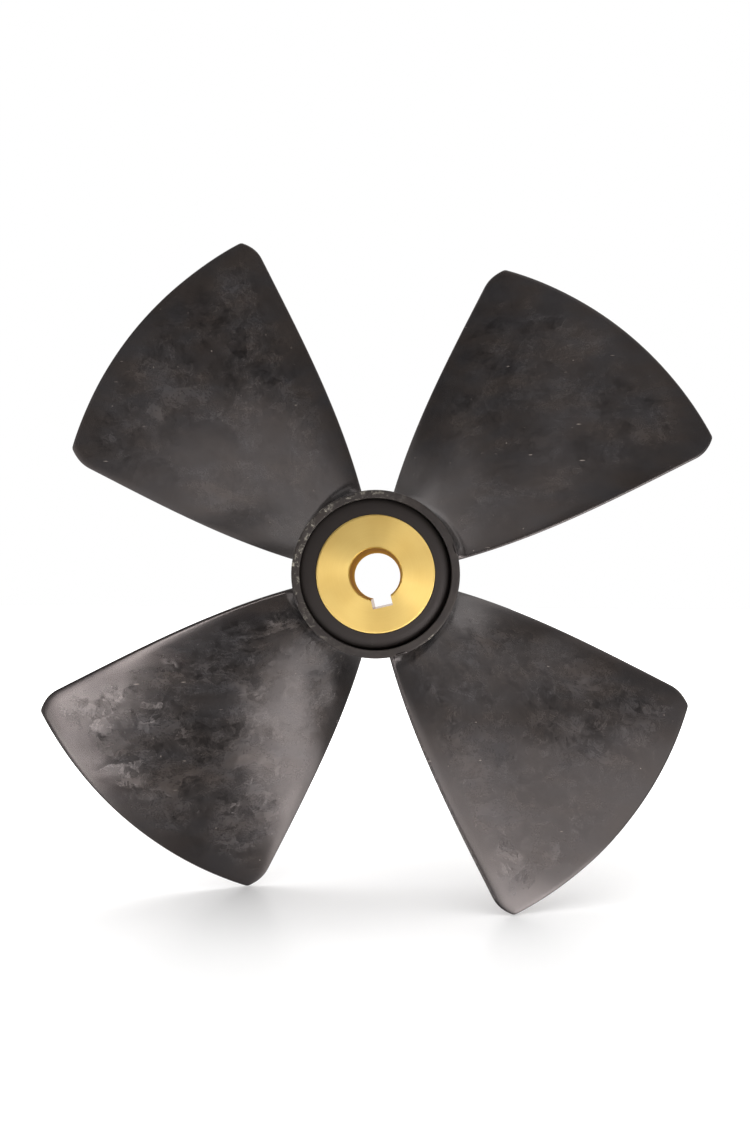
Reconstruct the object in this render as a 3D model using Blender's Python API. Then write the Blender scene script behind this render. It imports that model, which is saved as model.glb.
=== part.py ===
"""Four-bladed tunnel thruster propeller: a fibre-filled composite moulding on a keyed brass bush.

The shaft axis lies along Y and the front face looks along -Y. +Z is up, and the origin is the
centre of the hub on the shaft axis. Everything is in metres.
"""
import math

import bmesh
import bpy

# Driving dimensions of the whole rotor
TIP_RADIUS = 0.147
HUB_RADIUS = 0.0334
HUB_HALF_LENGTH = 0.026
BLADE_COUNT = 4
FIRST_BLADE_ANGLE = math.radians(45.0)
SEAT_GAP = 0.0003

# Front and back rims of the hub barrel
RIM_INNER_RADIUS = 0.0301
RIM_EDGE_CHAMFER = 0.0004

# Boss ring moulded round the bush, with a groove between it and the rim
BOSS_FLAT_RADIUS = 0.0266
BOSS_SHOULDER_RADIUS = 0.0023
GROOVE_DEPTH = 0.005

# Brass bush with its keyed bore
BUSH_RADIUS = 0.0235
BUSH_HALF_LENGTH = 0.0265
BUSH_EDGE_CHAMFER = 0.0003
BORE_RADIUS = 0.01025
BORE_CHAMFER = 0.0005
KEY_WIDTH = 0.008
KEY_DEPTH = 0.0032
KEY_ANGLE = math.radians(-77.0)

# Blade outline: half the blade's angle is a quadratic in radius / tip radius, in degrees,
# and the last stretch before the tip is drawn in to make the rounded corner
OUTLINE_CONSTANT = 39.9
OUTLINE_SLOPE = -25.0
OUTLINE_CURVE = 9.5
CORNER_START = 0.93
CORNER_DRAW_IN = 1.8
CORNER_POWER = 2.2

# Blade twist and thickness
PITCH = 0.258
ROOT_THICKNESS = 0.0085
TIP_THICKNESS = 0.0036
EDGE_THICKNESS = 0.0016
THICKNESS_TAPER = 1.3

# Facets
ROUND_STEPS = 48
SHOULDER_STEPS = 4
SPAN_STEPS = 12
SPAN_CROWDING = 1.35
CHORD_STEPS = 10


def clear_scene():
    for obj in list(bpy.data.objects):
        bpy.data.objects.remove(obj, do_unlink=True)


def make_material(name, colour, roughness, metallic):
    material = bpy.data.materials.new(name)
    material.use_nodes = True
    shader = material.node_tree.nodes["Principled BSDF"]
    shader.inputs["Base Color"].default_value = (*colour, 1.0)
    shader.inputs["Roughness"].default_value = roughness
    shader.inputs["Metallic"].default_value = metallic
    return material


def add_object(name, mesh, material=None):
    obj = bpy.data.objects.new(name, mesh)
    bpy.context.scene.collection.objects.link(obj)
    if material is not None:
        mesh.materials.append(material)
    return obj


def turned(name, profile, material):
    """A ring or tube: a closed (radius, height) loop turned about the shaft axis.

    The loop runs down its outer side from front to back. Height is measured towards the front,
    and the object is then laid over so that its height points along -Y.
    """
    mesh = bpy.data.meshes.new(name)
    points = [(radius, 0.0, height) for radius, height in profile]
    count = len(points)
    mesh.from_pydata(points, [(i, (i + 1) % count) for i in range(count)], [])
    obj = add_object(name, mesh, material)
    obj.rotation_euler = (math.pi / 2, 0.0, 0.0)
    screw = obj.modifiers.new("Turn", "SCREW")
    screw.axis = "Z"
    screw.angle = 2 * math.pi
    screw.steps = ROUND_STEPS
    screw.render_steps = ROUND_STEPS
    screw.use_merge_vertices = True
    screw.merge_threshold = 0.0001
    return obj


def both_ends(front_half):
    """Mirrors the outer half profile, front to middle, to give the whole outer side."""
    back_half = [(radius, -height) for radius, height in reversed(front_half)]
    return front_half + back_half


def hub_barrel(material):
    """The outer wall of the hub, whose ends stand as plain rims round the boss."""
    flat_edge = HUB_RADIUS - RIM_EDGE_CHAMFER
    outer = both_ends([
        (flat_edge, HUB_HALF_LENGTH),
        (HUB_RADIUS, HUB_HALF_LENGTH - RIM_EDGE_CHAMFER),
    ])
    inner = [(RIM_INNER_RADIUS, -HUB_HALF_LENGTH), (RIM_INNER_RADIUS, HUB_HALF_LENGTH)]
    return turned("hub_barrel", outer + inner, material)


def hub_boss(material):
    """The ring between bush and barrel, with a rounded shoulder and a groove at each end."""
    floor_height = HUB_HALF_LENGTH - GROOVE_DEPTH
    shoulder_centre = HUB_HALF_LENGTH - BOSS_SHOULDER_RADIUS
    front = []
    for step in range(SHOULDER_STEPS + 1):
        turn = math.pi / 2 * step / SHOULDER_STEPS
        radius = BOSS_FLAT_RADIUS + BOSS_SHOULDER_RADIUS * math.sin(turn)
        front.append((radius, shoulder_centre + BOSS_SHOULDER_RADIUS * math.cos(turn)))
    front.append((BOSS_FLAT_RADIUS + BOSS_SHOULDER_RADIUS, floor_height))
    front.append((RIM_INNER_RADIUS - SEAT_GAP, floor_height))
    bore = BUSH_RADIUS + SEAT_GAP
    inner = [(bore, -HUB_HALF_LENGTH), (bore, HUB_HALF_LENGTH)]
    return turned("hub_boss", both_ends(front) + inner, material)


def hub_bush(material):
    """The turned brass bush with a chamfered bore and a through keyway."""
    outer = both_ends([
        (BUSH_RADIUS - BUSH_EDGE_CHAMFER, BUSH_HALF_LENGTH),
        (BUSH_RADIUS, BUSH_HALF_LENGTH - BUSH_EDGE_CHAMFER),
    ])
    bore_half = [
        (BORE_RADIUS, BUSH_HALF_LENGTH - BORE_CHAMFER),
        (BORE_RADIUS + BORE_CHAMFER, BUSH_HALF_LENGTH),
    ]
    bore = [(radius, -height) for radius, height in reversed(bore_half)] + bore_half
    bush = turned("hub_bush", outer + bore, material)
    cut = bush.modifiers.new("Keyway", "BOOLEAN")
    cut.operation = "DIFFERENCE"
    cut.solver = "EXACT"
    cut.object = keyway_cutter()
    return bush


def keyway_cutter():
    """A bar from the shaft axis out to the keyway's bottom, longer than the bush."""
    reach = BORE_RADIUS + KEY_DEPTH
    mesh = bpy.data.meshes.new("keyway_cutter")
    bm = bmesh.new()
    bmesh.ops.create_cube(bm, size=1.0)
    bmesh.ops.scale(bm, vec=(reach, 3 * BUSH_HALF_LENGTH, KEY_WIDTH), verts=bm.verts)
    bmesh.ops.translate(bm, vec=(reach / 2, 0.0, 0.0), verts=bm.verts)
    bm.to_mesh(mesh)
    bm.free()
    cutter = add_object("keyway_cutter", mesh)
    cutter.rotation_euler = (0.0, -KEY_ANGLE, 0.0)
    cutter.hide_render = True
    cutter.display_type = "WIRE"
    return cutter


def half_angle(radius):
    """Half the angle that the blade covers at this radius, in radians."""
    part = radius / TIP_RADIUS
    degrees = OUTLINE_CONSTANT + OUTLINE_SLOPE * part + OUTLINE_CURVE * part ** 2
    corner = max(0.0, (part - CORNER_START) / (1.0 - CORNER_START))
    return math.radians(degrees - CORNER_DRAW_IN * corner ** CORNER_POWER)


def thickness(radius, chord_place):
    """Blade thickness: a lens section, thickest at mid chord and thinner towards the tip.

    chord_place runs from -1 at the edge nearer the front to 1 at the other edge.
    """
    span = (TIP_RADIUS - radius) / (TIP_RADIUS - HUB_RADIUS)
    middle = TIP_THICKNESS + (ROOT_THICKNESS - TIP_THICKNESS) * span ** THICKNESS_TAPER
    return EDGE_THICKNESS + (middle - EDGE_THICKNESS) * (1.0 - chord_place ** 2)


def blade_point(radius, chord_place, side):
    """A point of the blade's skin: side is 1 on the front face, -1 on the back, 0 between them.

    The middle surface is a helicoid of constant pitch. The skin is set off square to it and
    kept at its radius, so that root and tip lie on cylinders about the shaft.
    """
    lead = PITCH / (2 * math.pi)
    angle = chord_place * half_angle(radius)
    slant = math.hypot(radius, lead)
    offset = side * thickness(radius, chord_place) / 2
    turn = angle + offset * lead / slant / radius
    forward = lead * angle - offset * radius / slant
    return (radius * math.cos(turn), forward, radius * math.sin(turn))


def blade_mesh():
    """One blade pointing along +X, from just off the barrel out to the tip cylinder."""
    mesh = bpy.data.meshes.new("blade")
    bm = bmesh.new()
    root = HUB_RADIUS + SEAT_GAP
    rings = []
    for step in range(SPAN_STEPS + 1):
        share = 1.0 - (1.0 - step / SPAN_STEPS) ** SPAN_CROWDING
        radius = min(TIP_RADIUS, root + (TIP_RADIUS - root) * share)
        places = [2.0 * i / CHORD_STEPS - 1.0 for i in range(CHORD_STEPS + 1)]
        front = [bm.verts.new(blade_point(radius, place, 1)) for place in places]
        back = [bm.verts.new(blade_point(radius, place, -1)) for place in places]
        rings.append(front + back[::-1])
    for inner, outer in zip(rings, rings[1:]):
        for i in range(len(inner)):
            j = (i + 1) % len(inner)
            bm.faces.new((inner[i], inner[j], outer[j], outer[i]))
    close_end(bm, rings[0], root)
    close_end(bm, rings[-1], TIP_RADIUS)
    bmesh.ops.recalc_face_normals(bm, faces=bm.faces)
    bm.to_mesh(mesh)
    bm.free()
    mesh.shade_smooth()
    mesh.set_sharp_from_angle(angle=math.radians(40.0))
    return mesh


def close_end(bm, ring, radius):
    """Closes a root or tip with two rows of faces that meet on the end cylinder."""
    count = CHORD_STEPS + 1
    front = ring[:count]
    back = ring[count:][::-1]
    middle = [front[0]]
    for i in range(1, CHORD_STEPS):
        middle.append(bm.verts.new(blade_point(radius, 2.0 * i / CHORD_STEPS - 1.0, 0)))
    middle.append(front[-1])
    for i in range(CHORD_STEPS):
        for row in (front, back):
            corners = []
            for vert in (row[i], row[i + 1], middle[i + 1], middle[i]):
                if vert not in corners:
                    corners.append(vert)
            if len(corners) > 2:
                bm.faces.new(corners)


def blades():
    """Four blades that share one mesh, each turned to its own place about the shaft."""
    mesh = blade_mesh()
    mesh.materials.append(make_material("blade_composite", (0.066, 0.058, 0.055), 0.42, 0.0))
    for number in range(BLADE_COUNT):
        blade = add_object(f"blade_{number + 1}", mesh)
        angle = FIRST_BLADE_ANGLE + 2 * math.pi * number / BLADE_COUNT
        blade.rotation_euler = (0.0, -angle, 0.0)


def main():
    clear_scene()
    hub_barrel(make_material("barrel_composite", (0.058, 0.051, 0.047), 0.5, 0.0))
    hub_boss(make_material("boss_composite", (0.05, 0.045, 0.034), 0.45, 0.0))
    hub_bush(make_material("turned_brass", (0.86, 0.62, 0.24), 0.28, 1.0))
    blades()


main()
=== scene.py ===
# %% [markdown]
# # A four-bladed tunnel thruster propeller
# The real object is a dark fibre-filled moulding on a turned brass bush. The frame gives the
# solids of hub and blades at their true size. This lesson dresses them: each piece is a surface
# worked out with numpy over the same formulas as its solid, with the rounded edges, root fillets
# and moulding marks that the plain solid leaves out.

# %% Load the frame
import math

import bpy
import numpy as np
from mathutils import Matrix, Vector


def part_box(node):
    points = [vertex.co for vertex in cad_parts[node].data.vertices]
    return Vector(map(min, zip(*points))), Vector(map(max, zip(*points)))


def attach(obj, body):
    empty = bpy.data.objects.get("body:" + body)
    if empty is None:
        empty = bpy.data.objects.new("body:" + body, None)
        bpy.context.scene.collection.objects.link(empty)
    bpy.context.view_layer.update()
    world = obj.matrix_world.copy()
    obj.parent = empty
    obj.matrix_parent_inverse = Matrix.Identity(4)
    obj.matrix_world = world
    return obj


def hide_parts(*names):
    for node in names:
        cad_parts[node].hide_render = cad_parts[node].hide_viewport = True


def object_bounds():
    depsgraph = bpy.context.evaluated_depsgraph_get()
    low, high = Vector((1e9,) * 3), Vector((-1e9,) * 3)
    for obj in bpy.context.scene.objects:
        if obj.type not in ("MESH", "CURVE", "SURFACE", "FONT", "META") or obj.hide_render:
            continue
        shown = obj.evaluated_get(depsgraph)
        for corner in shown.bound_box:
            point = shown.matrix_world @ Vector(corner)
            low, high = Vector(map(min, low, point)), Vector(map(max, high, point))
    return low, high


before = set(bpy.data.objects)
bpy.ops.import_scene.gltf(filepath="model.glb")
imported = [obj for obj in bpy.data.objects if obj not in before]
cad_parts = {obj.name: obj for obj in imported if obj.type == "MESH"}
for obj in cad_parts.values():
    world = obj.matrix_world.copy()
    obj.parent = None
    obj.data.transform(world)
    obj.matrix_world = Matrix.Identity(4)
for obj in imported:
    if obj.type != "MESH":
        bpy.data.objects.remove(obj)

cad_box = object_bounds()
MM = 0.001
print("solids in the frame:", sorted(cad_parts))

# %% [markdown]
# ## Sizes
# Most sizes are read off the frame, so that a piece always fits the solid that it stands for.
# The blade's own laws (how wide, how twisted and how thick it is at each radius) can't be read
# off a box, so they are repeated here with the same values as in the model.

# %% Sizes read off the frame
barrel_low, barrel_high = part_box("hub_barrel")
bush_low, bush_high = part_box("hub_bush")
HUB_RADIUS = barrel_high[0]
HUB_FRONT = -barrel_low[1]
BUSH_RADIUS = bush_high[0]
BUSH_FRONT = -bush_low[1]
FLOOR_HEIGHT = cad_box[0][2]


def node_points(name):
    """The corner points of a solid in the frame, one row each."""
    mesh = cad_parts[name].data
    flat = np.empty(len(mesh.vertices) * 3)
    mesh.vertices.foreach_get("co", flat)
    return flat.reshape(-1, 3)


blade_solid = node_points("blade_1")
TIP_RADIUS = float(np.hypot(blade_solid[:, 0], blade_solid[:, 2]).max())
print("hub radius %.4f, tip radius %.4f, floor %.4f" % (HUB_RADIUS, TIP_RADIUS, FLOOR_HEIGHT))

# %% Sizes repeated from the model
BLADE_COUNT = 4
FIRST_BLADE_ANGLE = math.radians(45.0)
OUTLINE_CONSTANT, OUTLINE_SLOPE, OUTLINE_CURVE = 39.9, -25.0, 9.5
CORNER_START, CORNER_DRAW_IN, CORNER_POWER = 0.93, 1.8, 2.2
PITCH = 0.258
ROOT_THICKNESS, TIP_THICKNESS, EDGE_THICKNESS = 0.0085, 0.0036, 0.0016
THICKNESS_TAPER = 1.3
RIM_INNER_RADIUS = 0.0301
BOSS_FLAT_RADIUS = 0.0266
GROOVE_DEPTH = 0.005
BORE_RADIUS = 0.01025
BORE_CHAMFER = 0.0005
KEY_WIDTH, KEY_BOTTOM = 0.008, 0.01345
KEY_ANGLE = math.radians(-77.0)

# %% [markdown]
# ## The camera
# A product photograph like this is taken level, with the lens nearly on the shaft axis and about
# 400 mm away. The camera is placed first, because everything after it is judged through it. The
# three small turns tell how far the camera is off a dead straight view along +Y.

# %% The camera at the photograph's angle
CAMERA_PLACE = (6.5 * MM, -390.0 * MM, -6.2 * MM)
CAMERA_TURNS = (-0.0296, 0.0182, 0.0051)
FOCAL_PIXELS = 922.6
IMAGE_HEIGHT = 1125
SENSOR = 36.0


def camera_turn(nod, pan, roll):
    """Turns the straight view along +Y by small angles about the image's own axes."""
    seen = Matrix.Rotation(nod, 3, "X") @ Matrix.Rotation(pan, 3, "Y") @ Matrix.Rotation(roll, 3, "Z")
    straight = Matrix(((1, 0, 0), (0, 0, -1), (0, 1, 0)))
    to_blender = Matrix(((1, 0, 0), (0, -1, 0), (0, 0, -1)))
    return (to_blender @ seen @ straight).transposed()


camera_data = bpy.data.cameras.new("camera")
camera_data.sensor_width = SENSOR
camera_data.lens = FOCAL_PIXELS / IMAGE_HEIGHT * SENSOR
camera_data.clip_start = 0.01
camera = bpy.data.objects.new("camera", camera_data)
camera.matrix_world = Matrix.Translation(CAMERA_PLACE) @ camera_turn(*CAMERA_TURNS).to_4x4()
bpy.context.scene.collection.objects.link(camera)
bpy.context.scene.camera = camera
bpy.context.scene.view_settings.view_transform = "Standard"
print("lens %.2f mm" % camera_data.lens)

# %% [markdown]
# ## From arrays to a mesh
# Every piece here is a sheet of points with rows and columns that closes on itself. One helper
# makes the faces between neighbouring rows and columns, and one puts points and faces into a mesh.

# %% Mesh helpers


def sheet_faces(rows, columns, wrap_rows=False, wrap_columns=True):
    """Four-sided faces between each point of a grid and its neighbours, numbered row by row."""
    row = np.arange(rows if wrap_rows else rows - 1)[:, None]
    column = np.arange(columns if wrap_columns else columns - 1)[None, :]
    next_row, next_column = (row + 1) % rows, (column + 1) % columns
    corners = [row * columns + column, row * columns + next_column,
               next_row * columns + next_column, next_row * columns + column]
    return np.stack(np.broadcast_arrays(*corners), axis=-1).reshape(-1, 4)


def solid_volume(points, faces):
    """The space inside closed faces, in cubic metres: positive when the faces look outwards."""
    a, b, c, d = (points[faces[:, i]] for i in range(4))
    six_times = np.einsum("ij,ij->i", a, np.cross(b, c)) + np.einsum("ij,ij->i", a, np.cross(c, d))
    return float(six_times.sum() / 6)


def add_piece(name, points, faces, material, marks=None):
    """Makes a smooth piece on the one body of the frame. marks are named values per point."""
    volume = solid_volume(points, faces)
    if volume < 0:
        faces = faces[:, ::-1]
    mesh = bpy.data.meshes.new(name)
    mesh.from_pydata(points, [], [list(dict.fromkeys(face)) for face in faces.tolist()])
    for mark, values in (marks or {}).items():
        mesh.attributes.new(mark, "FLOAT", "POINT").data.foreach_set("value", values.astype(np.float32))
    mesh.shade_smooth()
    mesh.materials.append(material)
    piece = bpy.data.objects.new(name, mesh)
    bpy.context.scene.collection.objects.link(piece)
    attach(piece, "root")
    print("%s: %d faces, %.1f cubic centimetres" % (name, len(faces), abs(volume) * 1e6))
    return piece


def turned(profile, angles):
    """Turns (radius, height) points about the shaft axis: one row of points for each of them.

    Height is towards the front, which is -Y, and an angle runs from +X towards +Z.
    """
    radius = np.asarray([point[0] for point in profile])[:, None]
    height = np.asarray([point[1] for point in profile])[:, None]
    return np.stack(np.broadcast_arrays(radius * np.cos(angles), -height, radius * np.sin(angles)), axis=-1)


def corner_arc(centre, radius, start, stop, steps=6):
    """Points on a circle's arc in the (radius, height) plane, angles in degrees."""
    turn = np.radians(np.linspace(start, stop, steps + 1))
    return [(centre[0] + radius * math.cos(t), centre[1] + radius * math.sin(t)) for t in turn]


# %% [markdown]
# ## Materials from nodes
# One function adds a node, sets its attributes and fills or links its sockets. Colours are
# written as the eye sees them on a screen, in hex, and turned to linear light here.

# %% Node and colour helpers


def linear(hex_colour, alpha=1.0):
    """An sRGB hex colour as linear red, green, blue and alpha."""
    parts = [int(hex_colour[i:i + 2], 16) / 255 for i in (1, 3, 5)]
    return tuple(p / 12.92 if p <= 0.04045 else ((p + 0.055) / 1.055) ** 2.4 for p in parts) + (alpha,)


def add_node(tree, kind, settings=None, sockets=None):
    """Adds a node. A socket, by name or number, is linked to another node's output or set."""
    new = tree.nodes.new("ShaderNode" + kind)
    for name, value in (settings or {}).items():
        setattr(new, name, value)
    for key, value in (sockets or {}).items():
        if isinstance(value, bpy.types.NodeSocket):
            tree.links.new(value, new.inputs[key])
        else:
            new.inputs[key].default_value = value
    return new


def per_metre(size_mm):
    """The scale of a pattern whose features are this many millimetres wide."""
    return 1000.0 / size_mm


def new_material(name):
    """An empty material with its node tree and its output node."""
    material = bpy.data.materials.new(name)
    material.use_nodes = True
    tree = material.node_tree
    tree.nodes.clear()
    return material, tree, add_node(tree, "OutputMaterial")


# %% [markdown]
# ## Fibre-filled nylon, moulded
# The blades and hub are nylon filled with chopped glass and carbon black, pressed in a steel
# mould. The chopped bundles lie every way just under the skin. Each shows as a torn flake with
# its own tone and its own slight tilt, so that it catches the light alone. A Voronoi texture
# scatters the flakes, because its cells have a centre and a random colour each: the colour gives
# the flake's direction and tone, and noise stretched along that direction gives its fibres. The
# fibres also fray the edges of the torn sheets that a flake is made of.

# %% One layer of flakes
BEND_SHARE = 0.8
TURN_RANGE = 2.6
FIBRE_STRETCH = (0.16, 0.6, 1.0)
SHEETS, SHEET_FRAY, SHEET_CREST = 4.0, 1.1, 2.0
FLAKE_SHAPE = Vector((0.7, 1.0, 1.0))
BORDER_FRAY = 0.6
SHEET_TONE, FIBRE_TONE = 1.2, 2.0


def torn_flakes(tree, place, flow, size_mm, fibre_mm):
    """How pale each flake is (about -1 to 1) and how it tilts. flow turns all flakes, in radians.

    Flakes overlap like torn sheets: sheet = slow noise + fibres + a number of the flake's own.
    What is left of it above the last whole number rises slowly and drops at once, so each sheet
    has a soft side and a frayed crisp one. Away from the flake's centre it fades out.
    """
    bend = add_node(tree, "TexNoise", None, {
        "Vector": place, "Scale": per_metre(size_mm), "Detail": 2.0, "Roughness": 0.45})
    bent = add_node(tree, "VectorMath", {"operation": "MULTIPLY_ADD"}, {
        0: bend.outputs["Color"], 1: (BEND_SHARE * size_mm * MM,) * 3, 2: place}).outputs[0]
    cell = add_node(tree, "TexVoronoi", None, {"Vector": bent, "Scale": per_metre(size_mm)})
    own = cell.outputs["Color"]
    split = add_node(tree, "SeparateColor", None, {0: own})
    heading = add_node(tree, "Math", {"operation": "MULTIPLY_ADD"}, {
        0: split.outputs[2], 1: TURN_RANGE, 2: flow}).outputs[0]
    from_centre = add_node(tree, "VectorMath", {"operation": "SUBTRACT"}, {
        0: bent, 1: cell.outputs["Position"]})
    lying = add_node(tree, "VectorRotate", {"rotation_type": "Y_AXIS"}, {
        "Vector": from_centre.outputs[0], "Angle": heading}).outputs[0]
    drawn = add_node(tree, "Mapping", None, {
        "Vector": lying, "Location": own, "Scale": FIBRE_STRETCH}).outputs[0]
    fibre = add_node(tree, "TexNoise", None, {
        "Vector": drawn, "Scale": per_metre(fibre_mm), "Detail": 4.0, "Roughness": 0.6}).outputs["Fac"]
    fibre = add_node(tree, "Math", {"operation": "SUBTRACT"}, {0: fibre, 1: 0.5}).outputs[0]
    sheet = add_node(tree, "Math", {"operation": "MULTIPLY_ADD"}, {
        0: bend.outputs["Fac"], 1: SHEETS, 2: split.outputs[0]}).outputs[0]
    sheet = add_node(tree, "Math", {"operation": "MULTIPLY_ADD"}, {
        0: fibre, 1: SHEET_FRAY, 2: sheet}).outputs[0]
    sheet = add_node(tree, "Math", {"operation": "FRACT"}, {0: sheet}).outputs[0]
    sheet = add_node(tree, "Math", {"operation": "POWER"}, {0: sheet, 1: SHEET_CREST}).outputs[0]
    away = add_node(tree, "Mapping", None, {
        "Vector": lying, "Scale": FLAKE_SHAPE * per_metre(size_mm)}).outputs[0]
    away = add_node(tree, "VectorMath", {"operation": "LENGTH"}, {0: away}).outputs["Value"]
    away = add_node(tree, "Math", {"operation": "MULTIPLY_ADD"}, {
        0: fibre, 1: BORDER_FRAY, 2: away}).outputs[0]
    inside = add_node(tree, "MapRange", {"interpolation_type": "SMOOTHSTEP"}, {
        "Value": away, "From Min": 0.75, "From Max": 0.45, "To Min": 0.1}).outputs[0]
    tone = add_node(tree, "MapRange", None, {
        "Value": split.outputs[1], "To Min": -0.95, "To Max": 0.45}).outputs[0]
    tone = add_node(tree, "Math", {"operation": "MULTIPLY_ADD"}, {
        0: sheet, 1: SHEET_TONE, 2: tone}).outputs[0]
    streaked = add_node(tree, "Math", {"operation": "MULTIPLY_ADD"}, {
        0: fibre, 1: FIBRE_TONE, 2: tone}).outputs[0]
    pale = add_node(tree, "Math", {"operation": "MULTIPLY"}, {0: streaked, 1: inside}).outputs[0]
    lean = add_node(tree, "VectorMath", {"operation": "SUBTRACT"}, {0: own, 1: (0.5, 0.5, 0.5)}).outputs[0]
    raised = add_node(tree, "Math", {"operation": "MULTIPLY"}, {0: sheet, 1: inside}).outputs[0]
    tilt = add_node(tree, "VectorMath", {"operation": "SCALE"}, {0: lean, "Scale": raised}).outputs[0]
    return pale, tilt


# %% [markdown]
# Four layers of flakes, 24, 12, 12 and 6 mm wide, lie over slow clouds of tone, and one of the
# 12 mm layers is drawn out level, as the filling left it. Flow in the mould keeps the flakes off
# the blade's edges: each blade point carries a value, inland, that says how far from the edges
# it is. Water has stained the black a little brown in places and cooler in others. Bare fibre
# ends and dust make pale specks, handling leaves short level dashes, and the hub's rim, where
# pale_marks_and_glint is above nought, is scuffed to a paler olive grey. The same pale grey also
# paints a highlight along the rim's outer corner at the lower right: painted light.

# %% The composite
LEVEL_DRAW = (0.4, 1.0, 1.0)
DASH_DRAW = (0.13, 1.0, 1.0)
FLAKE_CONTRAST, FLAKE_TILT, FLAKE_GLOSS = 0.14, 0.11, 0.015
SPECK_MM = 2.6


def moulded_composite(name, dark, light, roughness, seed=0.0, strength=1.0, dust=1.0):
    """Clouds, four layers of flakes, stains, specks, dashes, scuffs and a painted highlight, in colour,
    gloss and tilt.

    seed moves the whole pattern, in metres. strength scales the flakes and dust the specks.
    """
    material, tree, output = new_material(name)
    place = add_node(tree, "TexCoord").outputs["Object"]
    place = add_node(tree, "Mapping", None, {
        "Vector": place, "Location": (seed, seed * 0.7, -seed)}).outputs[0]
    clouds = add_node(tree, "TexNoise", None, {
        "Vector": place, "Scale": per_metre(30), "Detail": 7.0, "Roughness": 0.6,
        "Distortion": 0.8}).outputs["Fac"]
    clouds = add_node(tree, "MapRange", None, {
        "Value": clouds, "From Min": 0.3, "From Max": 0.7, "To Min": 0.1, "To Max": 0.23}).outputs[0]
    flow = add_node(tree, "TexNoise", None, {
        "Vector": place, "Scale": per_metre(26), "Detail": 3.0}).outputs["Fac"]
    flow = add_node(tree, "MapRange", {"interpolation_type": "SMOOTHSTEP"}, {
        "Value": flow, "From Min": 0.34, "From Max": 0.5, "To Min": 0.45}).outputs[0]
    inland = add_node(tree, "Attribute", {"attribute_name": "inland"}).outputs["Fac"]
    busy = add_node(tree, "Math", {"operation": "MULTIPLY"}, {0: flow, 1: inland}).outputs[0]
    swirl = add_node(tree, "TexNoise", None, {"Vector": place, "Scale": per_metre(70)}).outputs["Fac"]
    swirl = add_node(tree, "Math", {"operation": "MULTIPLY"}, {0: swirl, 1: 4 * math.pi}).outputs[0]
    streaked = add_node(tree, "Mapping", None, {"Vector": place, "Scale": LEVEL_DRAW}).outputs[0]
    pale, tilt = 0.0, (0.0, 0.0, 0.0)
    for vector, size_mm, fibre_mm, share, lean_share in (
            (place, 24, 2.0, 0.4, 0.2), (streaked, 12, 1.3, 1.0, 0.9),
            (place, 12, 1.1, 1.0, 0.9), (place, 6, 0.8, 0.9, 1.0)):
        layer_pale, layer_tilt = torn_flakes(tree, vector, swirl, size_mm, fibre_mm)
        pale = add_node(tree, "Math", {"operation": "MULTIPLY_ADD"}, {
            0: layer_pale, 1: share, 2: pale}).outputs[0]
        tilt = add_node(tree, "VectorMath", {"operation": "MULTIPLY_ADD"}, {
            0: layer_tilt, 1: (lean_share,) * 3, 2: tilt}).outputs[0]
    pale = add_node(tree, "Math", {"operation": "MULTIPLY"}, {0: pale, 1: busy}).outputs[0]
    tone = add_node(tree, "Math", {"operation": "MULTIPLY_ADD"}, {
        0: pale, 1: FLAKE_CONTRAST * strength, 2: clouds}).outputs[0]
    base = add_node(tree, "Mix", {"data_type": "RGBA"}, {
        0: tone, 6: linear(dark), 7: linear(light)}).outputs[2]
    stain = add_node(tree, "TexNoise", None, {
        "Vector": streaked, "Scale": per_metre(9), "Detail": 5.0}).outputs["Fac"]
    stain = add_node(tree, "MapRange", None, {"Value": stain, "From Min": 0.35, "From Max": 0.65}).outputs[0]
    stain = add_node(tree, "Mix", {"data_type": "RGBA"}, {
        0: stain, 6: linear("#eef6ff"), 7: linear("#fff5eb")}).outputs[2]
    base = add_node(tree, "Mix", {"data_type": "RGBA", "blend_type": "MULTIPLY"}, {
        0: 1.0, 6: base, 7: stain}).outputs[2]

    level = add_node(tree, "Mapping", None, {"Vector": place, "Scale": DASH_DRAW}).outputs[0]
    marks = []
    for vector, dot_share, chosen_share in ((place, 0.12, 0.94), (level, 0.1, 0.84)):
        grit = add_node(tree, "TexVoronoi", None, {"Vector": vector, "Scale": per_metre(SPECK_MM)})
        chosen = add_node(tree, "SeparateColor", None, {0: grit.outputs["Color"]}).outputs[1]
        chosen = add_node(tree, "MapRange", None, {
            "Value": chosen, "From Min": chosen_share, "From Max": 1.0, "To Max": 0.5 * dust}).outputs[0]
        dot = add_node(tree, "MapRange", None, {
            "Value": grit.outputs["Distance"], "From Min": dot_share, "From Max": dot_share / 2}).outputs[0]
        marks.append(add_node(tree, "Math", {"operation": "MULTIPLY"}, {0: chosen, 1: dot}).outputs[0])
    mark = add_node(tree, "Math", {"operation": "MAXIMUM"}, {0: marks[0], 1: marks[1]}).outputs[0]
    colour = add_node(tree, "Mix", {"data_type": "RGBA"}, {
        0: mark, 6: base, 7: linear("#a0958c")}).outputs[2]
    pale_marks_and_glint = add_node(tree, "Attribute", {"attribute_name": "pale_marks_and_glint"}).outputs["Fac"]
    rubbed = add_node(tree, "TexNoise", None, {
        "Vector": place, "Scale": per_metre(2.4), "Detail": 6.0, "Roughness": 0.7,
        "Distortion": 1.0}).outputs["Fac"]
    rubbed = add_node(tree, "MapRange", {"interpolation_type": "SMOOTHSTEP"}, {
        "Value": rubbed, "From Min": 0.52, "From Max": 0.72}).outputs[0]
    scuffs_and_glint = add_node(tree, "Math", {"operation": "MULTIPLY"}, {0: pale_marks_and_glint, 1: rubbed}).outputs[0]
    # The rim's scuffs and the painted highlight on its lower-right corner share this pale olive grey.
    colour = add_node(tree, "Mix", {"data_type": "RGBA"}, {
        0: scuffs_and_glint, 6: colour, 7: linear("#9a9588")}).outputs[2]

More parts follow.
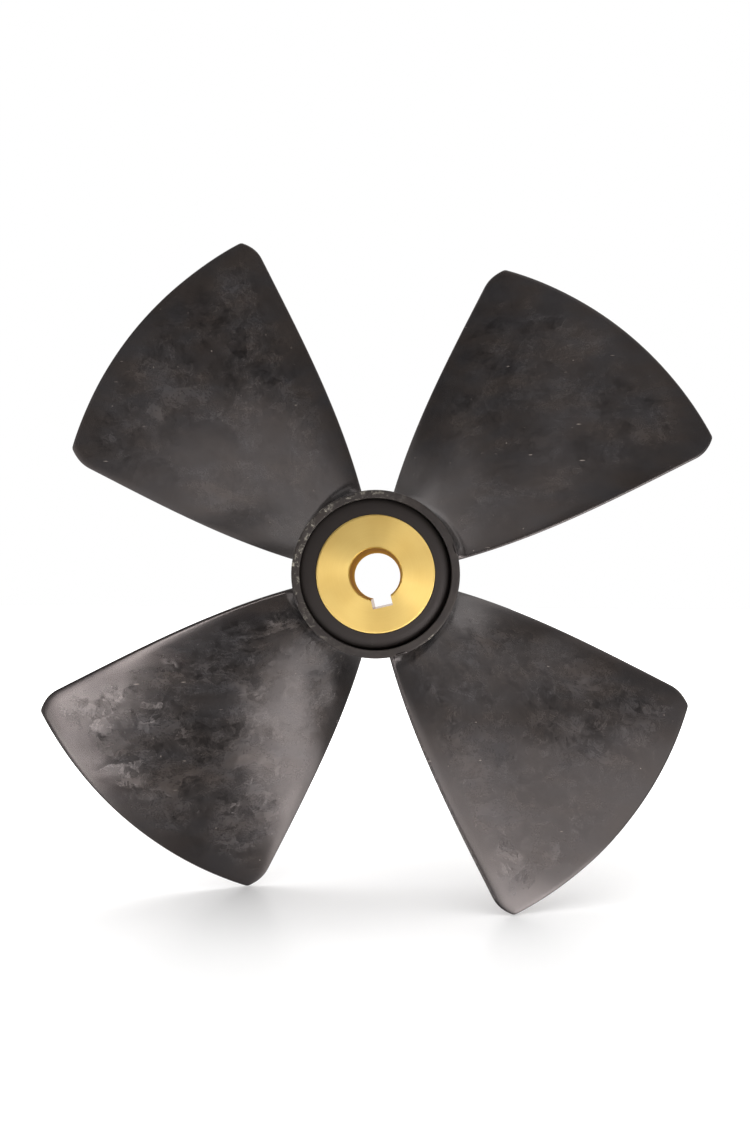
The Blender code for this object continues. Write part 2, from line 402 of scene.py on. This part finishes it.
    gloss = add_node(tree, "Math", {"operation": "MULTIPLY_ADD"}, {
        0: pale, 1: FLAKE_GLOSS, 2: roughness}).outputs[0]
    grain = add_node(tree, "TexNoise", None, {"Vector": place, "Scale": per_metre(1.1)}).outputs["Fac"]
    bump = add_node(tree, "Bump", None, {"Height": grain, "Distance": 0.000006, "Strength": 0.1}).outputs[0]
    lean = add_node(tree, "Math", {"operation": "MULTIPLY"}, {0: busy, 1: FLAKE_TILT * strength}).outputs[0]
    tilt = add_node(tree, "VectorMath", {"operation": "SCALE"}, {0: tilt, "Scale": lean}).outputs[0]
    facing = add_node(tree, "VectorMath", {"operation": "ADD"}, {0: bump, 1: tilt}).outputs[0]
    normal = add_node(tree, "VectorMath", {"operation": "NORMALIZE"}, {0: facing}).outputs[0]
    shader = add_node(tree, "BsdfPrincipled", None, {
        "Base Color": colour, "Roughness": gloss, "Normal": normal, "IOR": 1.53,
        "Specular Tint": linear("#fff1ee")})
    tree.links.new(shader.outputs[0], output.inputs[0])
    return material


blade_finish = moulded_composite("moulded_glass_filled_nylon", "#090808", "#464241", 0.26, 0.008)
rim_finish = moulded_composite("moulded_nylon_rim", "#0b0908", "#34302c", 0.56, 0.31, 0.8)
boss_finish = moulded_composite("moulded_nylon_boss", "#050302", "#16110b", 0.6, 0.57, 0.4)

# %% [markdown]
# ## Turned brass
# The bush is free-cutting brass, faced in a lathe. The tool leaves rings about the axis that are
# finer than the picture can show, so they are drawn as an anisotropic gloss, stretched round the
# bore, that spreads the light into soft fans. Coarser rings, drawn 0.5 mm apart so that they
# show, break the fans up a little. The wall of the bore, where bored_and_shaded is 1, is duller,
# and its deeper colour is painted shade inside the bore; the tint at grazing angles keeps it
# golden. The keyway's broached walls are smoother, so they mirror the backdrop.

# %% The brass


def turned_brass():
    """Metal with gloss stretched along the tool's rings, and rings in tone and relief."""
    material, tree, output = new_material("turned_brass")
    place = add_node(tree, "TexCoord").outputs["Object"]
    split = add_node(tree, "SeparateXYZ", None, {0: place})
    across = add_node(tree, "CombineXYZ", None, {0: split.outputs[0], 1: split.outputs[2]}).outputs[0]
    radius = add_node(tree, "VectorMath", {"operation": "LENGTH"}, {0: across}).outputs["Value"]
    rings_place = add_node(tree, "CombineXYZ", None, {0: radius}).outputs[0]
    rings = add_node(tree, "TexNoise", None, {
        "Vector": rings_place, "Scale": per_metre(0.5), "Detail": 3.0, "Roughness": 0.7}).outputs["Fac"]
    haze = add_node(tree, "TexNoise", None, {
        "Vector": place, "Scale": per_metre(14), "Detail": 2.0}).outputs["Fac"]
    toned = add_node(tree, "Math", {"operation": "MULTIPLY_ADD"}, {0: rings, 1: 0.5, 2: haze}).outputs[0]
    toned = add_node(tree, "MapRange", None, {"Value": toned, "From Min": 0.5, "From Max": 1.0}).outputs[0]
    colour = add_node(tree, "Mix", {"data_type": "RGBA"}, {
        0: toned, 6: linear("#edcd7e"), 7: linear("#e1bd6e")}).outputs[2]
    bored_and_shaded = add_node(tree, "Attribute", {"attribute_name": "bored_and_shaded"}).outputs["Fac"]
    # The bore's wall: a deeper colour, which is painted shade inside the bore.
    colour = add_node(tree, "Mix", {"data_type": "RGBA"}, {
        0: bored_and_shaded, 6: colour, 7: linear("#dab44e")}).outputs[2]
    turned_gloss = add_node(tree, "MapRange", None, {
        "Value": rings, "To Min": 0.35, "To Max": 0.43}).outputs[0]
    broached = add_node(tree, "Attribute", {"attribute_name": "broached"}).outputs["Fac"]
    gloss = add_node(tree, "Mix", None, {0: broached, 2: turned_gloss, 3: 0.12}).outputs[0]
    gloss = add_node(tree, "Mix", None, {0: bored_and_shaded, 2: gloss, 3: 0.6}).outputs[0]
    bump = add_node(tree, "Bump", None, {"Height": rings, "Distance": 0.00002, "Strength": 0.3}).outputs[0]
    grain = add_node(tree, "Tangent", {"direction_type": "UV_MAP", "uv_map": "turning"}).outputs[0]
    shader = add_node(tree, "BsdfPrincipled", None, {
        "Base Color": colour, "Metallic": 1.0, "Roughness": gloss, "Normal": bump,
        "Anisotropic": 0.68, "Tangent": grain, "Specular Tint": linear("#c89a40")})
    tree.links.new(shader.outputs[0], output.inputs[0])
    return material


brass_finish = turned_brass()

# %% [markdown]
# ## The blades
# Each blade is a helicoid of constant pitch with a lens-shaped section. The section is drawn as
# one closed loop of points: along the front face, round the far edge, back along the rear face
# and round the near edge. Rows of such loops run from inside the hub to the tip. Near the hub
# every loop is pushed outwards along its own normal, which makes the moulded fillet, and at the
# tip it is pulled in, which rounds the tip's edges.

# %% Laws of the blade
LEAD = PITCH / (2 * math.pi)
EDGE_STEPS = 7
FACE_STEPS = 110
SPAN_ROWS = 110
FILLET_ROWS = 10
FILLET_RADIUS = 0.0045
TIP_ROUNDING = 0.0007
ROOT_SINK = 0.0009
WAVE_HEIGHT, WAVE_COUNT = 0.00009, 6
WAVE_START = 0.020
CALM_MARGIN, CALM_SHARE = 0.012, 0.15
FILLET_FADE = 0.4
FILLING = (0.5, 0.68, 1.12, 1.02)
EASE_WIDTH = 0.004
EASED_SHARE = 0.75


def half_angle(radius):
    """Half the blade's angle: a quadratic in radius / tip radius, drawn in before the tip."""
    part = radius / TIP_RADIUS
    corner = np.clip((part - CORNER_START) / (1.0 - CORNER_START), 0.0, None)
    degrees = OUTLINE_CONSTANT + OUTLINE_SLOPE * part + OUTLINE_CURVE * part ** 2
    return np.radians(degrees - CORNER_DRAW_IN * corner ** CORNER_POWER)


def middle_thickness(radius):
    """Thickness at mid chord: a power of the share of span that is left."""
    span = np.clip((TIP_RADIUS - radius) / (TIP_RADIUS - HUB_RADIUS), 0.0, 1.0)
    return TIP_THICKNESS + (ROOT_THICKNESS - TIP_THICKNESS) * span ** THICKNESS_TAPER


def section_loop():
    """The loop's places: along the chord, round the edges, and towards front (1) or back (-1)."""
    arc = np.linspace(math.pi / 2, 0.0, EDGE_STEPS, endpoint=False)
    along = np.concatenate([-np.ones(EDGE_STEPS), np.linspace(-1, 1, FACE_STEPS), np.ones(EDGE_STEPS)])
    round_out = np.concatenate([-np.sin(arc), np.zeros(FACE_STEPS), np.sin(arc[::-1])])
    lift = np.concatenate([np.cos(arc), np.ones(FACE_STEPS), np.cos(arc[::-1])])
    back = slice(-2, 0, -1)
    side = np.concatenate([np.ones(len(along)), -np.ones(len(along) - 2)])
    return (np.concatenate([along, along[back]]), np.concatenate([round_out, round_out[back]]),
            np.concatenate([lift, lift[back]]), side)


def row_stations():
    """Radius of each row, how far it is pushed out as a share of the fillet, and pulled in."""
    fillet_turn = np.linspace(0.0, math.pi / 2, FILLET_ROWS)
    fillet = HUB_RADIUS + FILLET_RADIUS * (1 - np.cos(fillet_turn))
    body = np.linspace(HUB_RADIUS + FILLET_RADIUS, TIP_RADIUS - TIP_ROUNDING, SPAN_ROWS)[1:]
    tip_turn = np.linspace(0.0, math.pi / 2, 5)[1:]
    tip = TIP_RADIUS - TIP_ROUNDING * (1 - np.sin(tip_turn))
    radius = np.concatenate([[HUB_RADIUS - ROOT_SINK], fillet, body, tip])
    flare = np.concatenate([[1.0], 1 - np.sin(fillet_turn), np.zeros(len(body) + len(tip))])
    pull = np.concatenate([np.zeros(1 + FILLET_ROWS + len(body)), TIP_ROUNDING * (1 - np.cos(tip_turn))])
    return radius[:, None], flare[:, None], pull[:, None]


def waviness(x, z):
    """Shrinkage of the moulding: a sum of six sine waves, 25 to 60 mm long, in mixed directions."""
    total = np.zeros_like(x)
    for k in range(WAVE_COUNT):
        heading = 1.1 + 2.4 * k
        length = (25 + 7 * k) * MM
        total += np.sin(2 * math.pi * (x * math.cos(heading) + z * math.sin(heading)) / length + 1.7 * k)
    return WAVE_HEIGHT * total / 2.5


# %% [markdown]
# The near edge of a blade ends almost level with the rim of the hub, and the far edge mirrors
# this at the back. So the fillet is never taller than the space left below the rim, and it dies
# out where it would widen the blade's outline. The mould fills from the lower left, so the flakes
# are strongest on that blade: FILLING says how strong they are on each.

# %% Make the blades


def blade_points(turn):
    """The skin of one blade, with its middle turned to this angle: rows of section loops.

    Angle = place times half angle, forward = lead times angle, and the skin is set off square to
    the helicoid by half the thickness, at its own radius. The second result is inland.
    """
    radius, flare, pull = row_stations()
    along, round_out, lift, side = (values[None, :] for values in section_loop())
    slant = np.hypot(radius, LEAD)
    half = half_angle(radius)
    edge_share = EDGE_THICKNESS / 2 / (half * slant)
    place = along * (1 - edge_share) + round_out * edge_share
    lens = (middle_thickness(radius) - EDGE_THICKNESS) / 2 * (1 - place ** 2)
    inset = np.clip((1 - np.abs(place)) * half * slant / EASE_WIDTH, 0.0, 1.0)
    edge = EDGE_THICKNESS / 2 * (EASED_SHARE + (1 - EASED_SHARE) * inset * (2 - inset))
    room = np.clip((1 - side * place) / FILLET_FADE, 0.0, 1.0)
    below_rim = (HUB_FRONT + side * LEAD * place * half) * slant / radius - lens - edge
    push = np.clip(below_rim, 0.0, FILLET_RADIUS) * room ** 2 * (3 - 2 * room) * flare - pull
    offset = side * (lens + edge * lift) + side * lift * push
    angle = place * half - round_out * pull / slant
    turn = turn + angle + offset * LEAD / slant / radius
    forward = LEAD * angle - offset * radius / slant
    wavy = np.clip((radius - HUB_RADIUS) / WAVE_START, 0.0, 1.0)
    forward = forward + waviness(radius * np.cos(turn), radius * np.sin(turn)) * wavy
    points = np.stack([radius * np.cos(turn), forward, radius * np.sin(turn)], axis=-1)
    from_edge = np.minimum((1 - np.abs(place)) * half * slant, TIP_RADIUS - radius)
    return points, np.clip(from_edge / CALM_MARGIN - CALM_SHARE, 0.0, 1.0)


def end_cap(start, columns, face_count):
    """Faces that close a loop by joining each front point to the back point opposite it."""
    front = np.arange(face_count)
    back = (columns - front) % columns
    back[-1] = front[-1]
    return start + np.stack([front[:-1], front[1:], back[1:], back[:-1]], axis=-1)


for number in range(BLADE_COUNT):
    grid, inland = blade_points(FIRST_BLADE_ANGLE + 2 * math.pi * number / BLADE_COUNT)
    rows, columns = grid.shape[:2]
    face_points = FACE_STEPS + 2 * EDGE_STEPS
    faces = np.concatenate([
        sheet_faces(rows, columns),
        end_cap(0, columns, face_points)[:, ::-1],
        end_cap((rows - 1) * columns, columns, face_points)])
    name = "blade_%d" % (number + 1)
    marks = {"inland": inland.ravel() * FILLING[number]}
    skin = add_piece(name + "_skin", grid.reshape(-1, 3), faces, blade_finish, marks)
    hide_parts(name)

# %% [markdown]
# ## The hub barrel
# The barrel's ends are the plain rims that frame the boss. The rim's outer edge is softly rounded
# and its inner edge is nearly sharp. The rim is scuffed at the upper left, and a thin pale line
# along its outer corner at the lower right is a painted highlight.

# %% Make the barrel
ROUND = np.linspace(0.0, 2 * math.pi, 360, endpoint=False)
RIM_OUTER_ROUNDING = 0.0007
RIM_INNER_ROUNDING = 0.0003
SCUFF_SIDE, SCUFF_FADE = math.radians(155.0), 1.5
# A painted highlight: a pale band on the rim's rounded outer corner, centred at the lower right.
GLINT_SIDE, GLINT_WIDTH, GLINT_SHARE = math.radians(310.0), math.radians(7.0), 1.6


def both_ends(front_half):
    """The front half's (radius, height) rows, from outside to inside, joined to their mirror image."""
    return front_half + [(radius, -height) for radius, height in reversed(front_half)]


outer_corner = (HUB_RADIUS - RIM_OUTER_ROUNDING, HUB_FRONT - RIM_OUTER_ROUNDING)
inner_corner = (RIM_INNER_RADIUS + RIM_INNER_ROUNDING, HUB_FRONT - RIM_INNER_ROUNDING)
barrel_profile = both_ends(
    [(HUB_RADIUS, height) for height in np.linspace(0.2 * MM, outer_corner[1], 12)[:-1]]
    + corner_arc(outer_corner, RIM_OUTER_ROUNDING, 0, 90)
    + [(radius, HUB_FRONT) for radius in np.linspace(outer_corner[0], inner_corner[0], 8)[1:-1]]
    + corner_arc(inner_corner, RIM_INNER_ROUNDING, 90, 180)
    + [(RIM_INNER_RADIUS, height) for height in np.linspace(HUB_FRONT - 2 * MM, 1 * MM, 8)])
grid = turned(barrel_profile, ROUND)
barrel_faces = sheet_faces(len(barrel_profile), len(ROUND), True)
away_from_front = HUB_FRONT + grid[..., 1]
up_left = np.clip(0.2 + 0.8 * np.cos(ROUND - SCUFF_SIDE), 0.0, 1.0) ** SCUFF_FADE
pale_marks_and_glint = np.clip(1.0 - away_from_front / (2 * MM), 0.0, 1.0) * up_left
# Painted highlight along the rounded outer corner, strongest at the lower right.
painted_glint = GLINT_SHARE * np.exp(-((ROUND - GLINT_SIDE) / GLINT_WIDTH) ** 2)
on_corner = np.abs(away_from_front - RIM_OUTER_ROUNDING / 2) < RIM_OUTER_ROUNDING / 2
on_corner = on_corner & (np.hypot(grid[..., 0], grid[..., 2]) > HUB_RADIUS - 1 * MM)
pale_marks_and_glint = np.maximum(pale_marks_and_glint, painted_glint * on_corner)
marks = {"inland": np.ones(pale_marks_and_glint.size), "pale_marks_and_glint": pale_marks_and_glint.ravel()}
barrel = add_piece("hub_barrel_skin", grid.reshape(-1, 3), barrel_faces, rim_finish, marks)
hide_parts("hub_barrel")

# %% [markdown]
# ## The boss ring
# Between rim and brass lies a ring whose face falls a little outwards, like a shallow cone. Its
# shoulder rounds down to the rim along a quarter of an ellipse and leaves a groove there. The
# photograph shows the groove deep at the lower right but nearly closed at the upper left, so its
# depth follows the cosine of the angle from the lower right. The short pale line at the bottom
# of the ring is the witness mark of the mould.

# %% Make the boss
SHOULDER_STEPS = 16
SHOULDER_START = BOSS_FLAT_RADIUS - 1 * MM
CONE_DROP = 0.8 * MM
DEEP_SIDE = math.radians(-35.0)
SHALLOW_SHARE, DEEP_SHARE = 0.3, 1.0
WITNESS_SIDE, WITNESS_SHARE = math.radians(268.0), 0.8
depth = GROOVE_DEPTH * (
    (DEEP_SHARE + SHALLOW_SHARE) / 2 + (DEEP_SHARE - SHALLOW_SHARE) / 2 * np.cos(ROUND - DEEP_SIDE))
groove_outer = RIM_INNER_RADIUS - 0.05 * MM
boss_bore = BUSH_RADIUS + 0.05 * MM
level = np.ones_like(ROUND)
front_rows = [(groove_outer * level, 1 * MM * level)]
for turn in np.linspace(math.pi / 2, 0.0, SHOULDER_STEPS + 1):
    radius = SHOULDER_START + (groove_outer - SHOULDER_START) * math.sin(turn)
    cone = CONE_DROP * (radius - boss_bore) / (groove_outer - boss_bore)
    front_rows.append((radius * level, HUB_FRONT - cone - (depth - CONE_DROP) * (1 - math.cos(turn))))
for share in np.linspace(0.0, 1.0, 8)[1:]:
    radius = SHOULDER_START + (boss_bore - SHOULDER_START) * share
    cone = CONE_DROP * (radius - boss_bore) / (groove_outer - boss_bore)
    front_rows.append((radius * level, (HUB_FRONT - cone) * level))
front_rows.append((boss_bore * level, 1 * MM * level))
all_rows = both_ends(front_rows)
radius = np.stack([row[0] for row in all_rows])
height = np.stack([row[1] for row in all_rows])
grid = np.stack([radius * np.cos(ROUND), -height, radius * np.sin(ROUND)], axis=-1)
boss_faces = sheet_faces(len(all_rows), len(ROUND), True)
on_line = np.abs(ROUND - WITNESS_SIDE) < math.pi / len(ROUND)
witness = on_line & (radius > BUSH_RADIUS + 1.2 * MM) & (radius < BOSS_FLAT_RADIUS + 2 * MM)
marks = {"inland": np.ones(radius.size), "pale_marks_and_glint": WITNESS_SHARE * witness.ravel()}
boss = add_piece("hub_boss_skin", grid.reshape(-1, 3), boss_faces, boss_finish, marks)
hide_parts("hub_boss")

# %% [markdown]
# ## The brass bush
# A bore with a keyway is still a function of the angle: outside the key its radius is the bore's,
# inside it is the distance to the key's flat bottom or to its straight walls. So the bush is a
# turned sheet too, whose inner rows follow that function.

# %% Make the bush
BUSH_EDGE = 0.0003
INNER_SHARE = 1.1
key_half = KEY_WIDTH / 2
corner_turn = math.atan2(key_half, KEY_BOTTOM)
mouth_turn = math.asin(key_half / BORE_RADIUS)
key_reach = 1.05 * mouth_turn
KEY_TURNS = np.concatenate([
    np.linspace(-corner_turn, corner_turn, 41), np.linspace(corner_turn, mouth_turn, 25)[1:],
    np.linspace(mouth_turn, 2 * math.pi - mouth_turn, 361)[1:],
    np.linspace(2 * math.pi - mouth_turn, 2 * math.pi - corner_turn, 25)[1:-1]])


def bore_with_key(radius):
    """Bore radius at each angle: the plain radius, or the keyway's wall or bottom if further out."""
    turn = np.abs((KEY_TURNS + math.pi) % (2 * math.pi) - math.pi)
    bottom = KEY_BOTTOM / np.maximum(np.cos(turn), 0.2)
    wall = key_half / np.maximum(np.sin(turn), 1e-6)
    slot = np.where(turn <= corner_turn + 1e-9, bottom, np.where(turn < math.pi / 2, wall, 0.0))
    return np.maximum(radius, slot)


def bush_rows():
    """Rows of (radius at each angle, height), from the outside over the front into the bore."""
    full = np.ones_like(KEY_TURNS)
    rows = [(BUSH_RADIUS * full, 1 * MM), (BUSH_RADIUS * full, BUSH_FRONT - BUSH_EDGE)]
    for step in range(1, 5):
        turn = math.pi / 2 * step / 4
        rows.append(((BUSH_RADIUS - BUSH_EDGE * (1 - math.cos(turn))) * full,
                     BUSH_FRONT - BUSH_EDGE * (1 - math.sin(turn))))
    chamfer = bore_with_key(BORE_RADIUS + BORE_CHAMFER)
    outer = BUSH_RADIUS - BUSH_EDGE
    for share in np.linspace(0, 1, 24)[1:]:
        rows.append((outer + (chamfer - outer) * share, BUSH_FRONT))
    bore = bore_with_key(BORE_RADIUS)
    rows.append((bore, BUSH_FRONT - BORE_CHAMFER))
    rows.extend((bore, height) for height in np.linspace(BUSH_FRONT - 2 * MM, 1 * MM, 10))
    return rows


all_rows = both_ends(bush_rows())
radius = np.stack([row[0] for row in all_rows])
height = np.array([row[1] for row in all_rows])[:, None]
turn = KEY_TURNS[None, :] + KEY_ANGLE
grid = np.stack(np.broadcast_arrays(radius * np.cos(turn), -height, radius * np.sin(turn)), axis=-1)
bush_faces = sheet_faces(len(all_rows), len(KEY_TURNS), True)
in_opening = radius < INNER_SHARE * KEY_BOTTOM
in_key = (radius > BORE_RADIUS + 0.1 * MM) & (np.abs(turn - KEY_ANGLE - math.pi) > math.pi - key_reach)
broached = in_opening & in_key & (np.abs(height) < BUSH_FRONT)
# The bore's wall, which gets painted shade in its colour and a duller gloss.
bored_and_shaded = in_opening & (np.abs(height) <= BUSH_FRONT - BORE_CHAMFER) & ~broached
marks = {"broached": broached.ravel(), "bored_and_shaded": bored_and_shaded.ravel()}
bush = add_piece("hub_bush_turned", grid.reshape(-1, 3), bush_faces, brass_finish, marks)
corner_index = np.empty(len(bush.data.loops), dtype=np.int64)
bush.data.loops.foreach_get("vertex_index", corner_index)
column = corner_index % len(KEY_TURNS)
row = corner_index // len(KEY_TURNS)
unrolled = np.stack([KEY_TURNS[column] / (2 * math.pi), radius[row, column] / BUSH_RADIUS], axis=-1)
bush.data.uv_layers.new(name="turning").data.foreach_set("uv", unrolled.ravel().astype(np.float32))
bush.data.set_sharp_from_angle(angle=math.radians(30.0))
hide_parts("hub_bush")

# %% [markdown]
# ## Floor, background and light
# The studio is a white table with soft boxes round it. A satin blade shows each box as a soft
# glow, so every light is placed by the direction that it is seen in from the hub: how far it
# stands to the right of the camera, how high above the hub, and how wide and tall it looks, all
# in degrees. Those lower than the table shine up through its pale top. The overhead box gives
# the shadows at the tips: it stands a little to the left and to the front, so that they fall to
# the right and behind, and it is hidden from reflections.

# %% Floor
FLOOR_REACH = 6.0
FLOOR_NEAR, FLOOR_FAR = 0.2, 0.5
FLOOR_GLOW = 0.15
FLOOR_SHAPE = (1.0, 1.8, 1.0)


def floor_material():
    """White acrylic that glows, as painted light: even white far off, faint near the object so that soft
    shadows show there.
    """
    material, tree, output = new_material("white_acrylic_table")
    place = add_node(tree, "TexCoord").outputs["Object"]
    place = add_node(tree, "Mapping", None, {"Vector": place, "Scale": FLOOR_SHAPE}).outputs[0]
    away = add_node(tree, "VectorMath", {"operation": "LENGTH"}, {0: place}).outputs["Value"]
    # Painted light: the floor glows faintly near the object and fully further away from it.
    glow = add_node(tree, "MapRange", {"interpolation_type": "SMOOTHSTEP"}, {
        "Value": away, "From Min": FLOOR_NEAR, "From Max": FLOOR_FAR, "To Min": FLOOR_GLOW}).outputs[0]
    shader = add_node(tree, "BsdfPrincipled", None, {
        "Base Color": linear("#efefef"), "Roughness": 0.3, "IOR": 1.45,
        "Emission Color": linear("#ffffff"), "Emission Strength": glow})
    tree.links.new(shader.outputs[0], output.inputs[0])
    return material


side = np.linspace(-FLOOR_REACH, FLOOR_REACH, 3)
x, y = np.meshgrid(side, side)
floor_points = np.stack([x, y, np.full_like(x, FLOOR_HEIGHT)], axis=-1).reshape(-1, 3)
floor_mesh = bpy.data.meshes.new("studio_floor")
floor_mesh.from_pydata(floor_points, [], sheet_faces(3, 3, False, False).tolist())
floor_mesh.materials.append(floor_material())
floor = bpy.data.objects.new("studio_floor", floor_mesh)
floor.visible_glossy = False
floor.visible_shadow = False
bpy.context.scene.collection.objects.link(floor)

# %% World and lights
world = bpy.data.worlds.new("studio")
world.use_nodes = True
tree = world.node_tree
tree.nodes.clear()
seen = add_node(tree, "Background", None, {"Color": linear("#ffffff"), "Strength": 1.0}).outputs[0]
heading = add_node(tree, "TexCoord").outputs["Generated"]
behind = add_node(tree, "SeparateXYZ", None, {0: heading}).outputs[1]
behind = add_node(tree, "MapRange", {"interpolation_type": "SMOOTHSTEP"}, {
    "Value": behind, "From Min": 0.1, "From Max": 0.7, "To Min": 0.2, "To Max": 0.9}).outputs[0]
given = add_node(tree, "Background", None, {"Color": linear("#f4f1f0"), "Strength": behind}).outputs[0]
pick = add_node(tree, "LightPath").outputs["Is Camera Ray"]
mixed = add_node(tree, "MixShader", None, {0: pick, 1: given, 2: seen}).outputs[0]
add_node(tree, "OutputWorld", None, {0: mixed})
bpy.context.scene.world = world

# %% Soft boxes
LIGHT_DISTANCE = 1.6


def soft_box(name, right, up, wide, tall, glow):
    """A white area light seen from the hub at these degrees right of the camera and up, and so large.

    Power = 4 * area * glow, so that glow is how bright the box looks in a mirror.
    """
    right, up = math.radians(right), math.radians(up)
    direction = Matrix.Rotation(right, 3, "Z") @ Matrix.Rotation(-up, 3, "X") @ Vector((0, -1, 0))
    data = bpy.data.lights.new(name, "AREA")
    data.shape = "RECTANGLE"
    data.size = 2 * LIGHT_DISTANCE * math.tan(math.radians(wide / 2))
    data.size_y = 2 * LIGHT_DISTANCE * math.tan(math.radians(tall / 2))
    data.energy = 4 * data.size * data.size_y * glow
    light = bpy.data.objects.new(name, data)
    turn = direction.to_track_quat("Z", "Y").to_matrix().to_4x4()
    light.matrix_world = Matrix.Translation(direction * LIGHT_DISTANCE) @ turn
    light.visible_camera = False
    bpy.context.scene.collection.objects.link(light)
    return light


soft_box("front_low", -12, -31.5, 9.5, 11, 17.0)
soft_box("right_low", 38, -23, 9, 22, 10.4)
soft_box("right_wide", 50, -30, 25, 36, 2.0)
soft_box("right_level", 40, -3, 20, 36, 2.0)
soft_box("right_floor", 68, -48, 36, 25, 2.8)
soft_box("left_low", -77, -34, 58, 57, 1.15)
soft_box("left_high", -70, 65, 26, 40, 0.8)
soft_box("left_level", -99, 31, 22, 36, 0.58)
soft_box("right_high", 76, 36, 46, 52, 0.75)
soft_box("front_high", -4, 65, 26, 40, 0.65)
soft_box("camera_side", 1, -12, 12, 24, 2.4)
soft_box("camera_upper", 12, 12, 12, 10, 2.1)
soft_box("top", 180, 75, 90, 26, 1.25)
overhead = soft_box("overhead", -42, 64, 75, 80, 0.9)
overhead.visible_glossy = False
